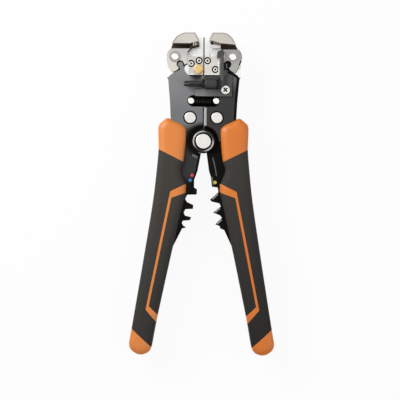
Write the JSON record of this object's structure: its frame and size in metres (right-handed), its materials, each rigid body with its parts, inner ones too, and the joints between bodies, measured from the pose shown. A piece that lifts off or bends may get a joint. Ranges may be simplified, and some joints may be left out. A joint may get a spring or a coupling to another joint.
{
  "type": "automatic wire stripper",
  "caption": "Hand tool with two spring-opened handles, paired upper and lower jaws that clamp a wire and pull its insulation off, crimping dies and a screw-set length stop.",
  "frame": {"origin": "middle of the tool's plan outline, on the plane of the grips' flat rear faces that it lies on", "axes": "+Y from the grips towards the jaws, +X to the right seen from the front, +Z out of the front face, away from the surface it lies on"},
  "size_m": [0.0924, 0.2046, 0.0236],
  "materials": {
    "black_plate": "satin black coated steel",
    "black_oxide_steel": "matte black oxide",
    "bright_steel": "bright satin",
    "jaw_steel": "warm satin nickel",
    "plated_steel": "bright plated",
    "blade_steel": "dark hardened steel",
    "spring_steel": "oiled black spring wire",
    "brass": "satin brass",
    "orange_plastic": "satin orange moulded plastic",
    "black_rubber": "matte soft black skin",
    "red_paint": "gloss red paint spot",
    "blue_paint": "gloss blue paint spot",
    "yellow_paint": "gloss yellow paint spot"
  },
  "bodies": {
    "left_frame": {"left_frame_front": "bright_steel", "left_frame_rear": "bright_steel", "left_lower_jaw": "jaw_steel", "left_clamp_plate": "jaw_steel", "left_clamp_screws": "plated_steel", "brass_stud": "brass", "left_jaw_pin": "plated_steel", "left_spring_post": "plated_steel", "pivot_pin": "plated_steel", "pivot_washer_front": "plated_steel", "pivot_washer_rear": "plated_steel", "return_spring": "spring_steel", "frame_spring": "spring_steel"},
    "right_frame": {"right_frame_front": "bright_steel", "right_frame_rear": "bright_steel", "right_lower_jaw": "jaw_steel", "right_clamp_plate": "jaw_steel", "right_clamp_screws": "plated_steel", "right_jaw_pin": "plated_steel", "right_spring_post": "plated_steel", "lower_blade": "blade_steel"},
    "left_jaw": {"left_upper_jaw": "jaw_steel", "left_grip_insert": "black_oxide_steel"},
    "right_jaw": {"right_upper_jaw": "jaw_steel", "right_guide_insert": "black_oxide_steel", "upper_blade": "blade_steel"},
    "left_handle": {"left_lever_front": "black_plate", "left_lever_rear": "black_plate", "left_lever_rivet": "plated_steel", "left_crimp_die": "black_oxide_steel", "left_grip_orange": "orange_plastic", "left_grip_black": "black_rubber", "red_size_mark": "red_paint", "blue_size_mark": "blue_paint"},
    "right_handle": {"right_lever_core": "black_oxide_steel", "right_head_plate_front": "black_plate", "right_head_plate_rear": "black_plate", "right_lever_rivet": "plated_steel", "right_grip_orange": "orange_plastic", "right_grip_black": "black_rubber", "yellow_size_mark": "yellow_paint", "adjuster_bracket": "black_plate", "bracket_screw": "plated_steel"},
    "stop_knob": {"adjuster_knob": "black_oxide_steel"},
    "length_stop": {"adjuster_rod": "black_oxide_steel", "stop_arm": "black_oxide_steel"}
  },
  "joints": [
    {"name": "left_grip", "type": "hinge", "parent": "left_frame", "child": "left_handle", "pos_m": [0, 0.03357, 0.01], "axis": [0, 0, 1], "range_deg": [0, 2.09], "stiffness_Nm_per_rad": 2, "deforming": ["return_spring"]},
    {"name": "head_split", "type": "hinge", "parent": "left_frame", "child": "right_frame", "pos_m": [0, 0.03357, 0.01], "axis": [0, 0, -1], "range_deg": [0, 17], "stiffness_Nm_per_rad": 1, "deforming": ["frame_spring"]},
    {"name": "right_grip", "type": "hinge", "parent": "right_frame", "child": "right_handle", "pos_m": [0, 0.03357, 0.01], "axis": [0, 0, -1], "range_deg": [0, 2.09]},
    {"name": "left_jaw_turn", "type": "hinge", "parent": "left_frame", "child": "left_jaw", "pos_m": [-0.01828, 0.08711, 0.01], "axis": [0, 0, -1], "range_deg": [0, 17]},
    {"name": "right_jaw_turn", "type": "hinge", "parent": "right_frame", "child": "right_jaw", "pos_m": [0.01828, 0.08711, 0.01], "axis": [0, 0, 1], "range_deg": [0, 17]},
    {"name": "stop_turn", "type": "hinge", "parent": "right_handle", "child": "stop_knob", "pos_m": [0.0045, 0.06978, 0.0208], "axis": [1, 0, 0], "range_deg": [0, 720]},
    {"name": "stop_slide", "type": "slide", "parent": "right_handle", "child": "length_stop", "axis": [1, 0, 0], "range_m": [0, 0.0014]}
  ],
  "couplings": [
    {"joint": "right_grip", "follows": "left_grip", "ratio": 1},
    {"joint": "left_jaw_turn", "follows": "left_grip", "ratio": 8.128},
    {"joint": "right_jaw_turn", "follows": "left_grip", "ratio": 8.128},
    {"joint": "stop_turn", "follows": "stop_slide", "rad_per_m": 8975.9}
  ]
}
